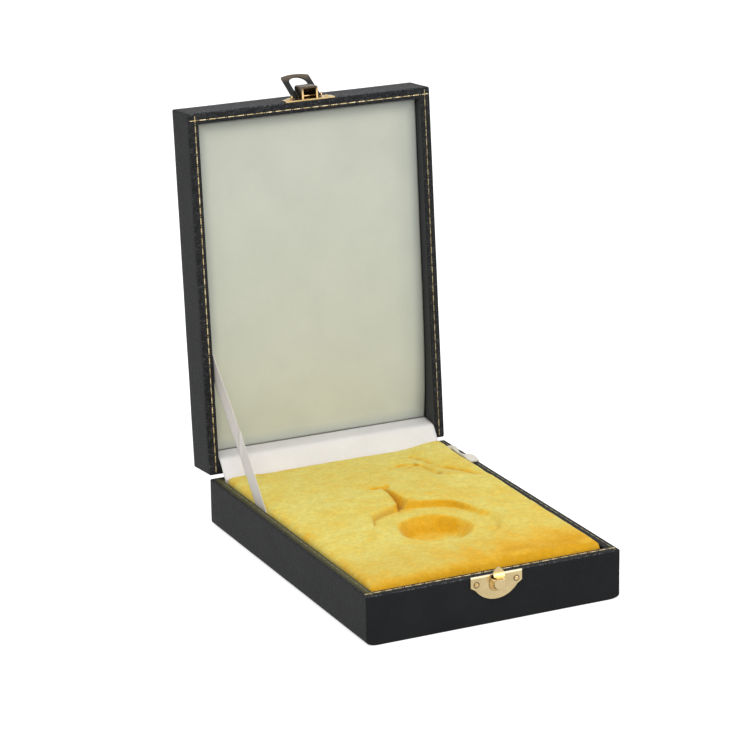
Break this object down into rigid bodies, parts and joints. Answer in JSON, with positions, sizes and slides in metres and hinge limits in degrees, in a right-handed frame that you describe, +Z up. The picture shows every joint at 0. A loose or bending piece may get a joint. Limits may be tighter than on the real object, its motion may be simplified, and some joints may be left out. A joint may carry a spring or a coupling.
{
  "type": "medal presentation case",
  "caption": "Hinged leatherette presentation case with padded velvet insert recessed for a medal, satin lid lining, ribbon stays and bail clasp.",
  "frame": {"origin": "centre of the base's underside, on the table", "axes": "+X to the right along the front edge, +Y from the clasp to the hinge, +Z up; the lid is open at rest"},
  "size_m": [0.1134, 0.1889, 0.1853],
  "materials": {
    "leatherette": "black grained leatherette with dashed gilt tooling, satin",
    "wood_board": "plain sawn wood and board, hidden",
    "card": "grey board, matt",
    "underlay": "black lining paper, matt",
    "foam": "soft padding, matt",
    "velvet": "yellow crushed velvet",
    "satin": "cream satin, soft sheen",
    "ribbon": "white satin ribbon",
    "gilt_brass": "polished gilt brass",
    "aged_brass": "darker bronzed brass",
    "hinge_brass": "plain brass strip, hidden"
  },
  "bodies": {
    "base": {"base_front_wall": "wood_board", "base_back_wall": "wood_board", "base_left_wall": "wood_board", "base_right_wall": "wood_board", "base_bottom_board": "wood_board", "base_leather_cover": "leatherette", "underside_lining": "underlay", "insert_board": "card", "insert_foam": "foam", "insert_velvet": "velvet", "catch_plate": "gilt_brass", "guide_tongue": "gilt_brass", "catch_nails": "gilt_brass", "hinge_leaf_base": "hinge_brass", "hinge_nails_base": "hinge_brass", "hinge_pin": "hinge_brass", "satin_hinge_strip": "satin", "stay_ribbon_left": "ribbon", "stay_ribbon_right": "ribbon"},
    "lid": {"lid_front_wall": "wood_board", "lid_back_wall": "wood_board", "lid_left_wall": "wood_board", "lid_right_wall": "wood_board", "lid_top_board": "wood_board", "lid_leather_cover": "leatherette", "lid_pad_card": "card", "lid_pad_wadding": "foam", "lid_pad_satin": "satin", "hinge_leaf_lid": "hinge_brass", "hinge_nails_lid": "hinge_brass", "keeper_plate": "gilt_brass", "keeper_box": "gilt_brass", "keeper_nails": "gilt_brass", "bail_pin": "gilt_brass"},
    "bail": {"bail": "aged_brass"}
  },
  "joints": [
    {"name": "lid_hinge", "type": "hinge", "parent": "base", "child": "lid", "pos_m": [0, 0.0781, 0.02175], "axis": [1, 0, 0], "range_deg": [0, 94.3], "deforming": ["satin_hinge_strip", "stay_ribbon_left", "stay_ribbon_right"]},
    {"name": "bail_pivot", "type": "hinge", "parent": "lid", "child": "bail", "pos_m": [0, 0.09388, 0.17826], "axis": [1, 0, 0], "range_deg": [-30, 148]}
  ]
}
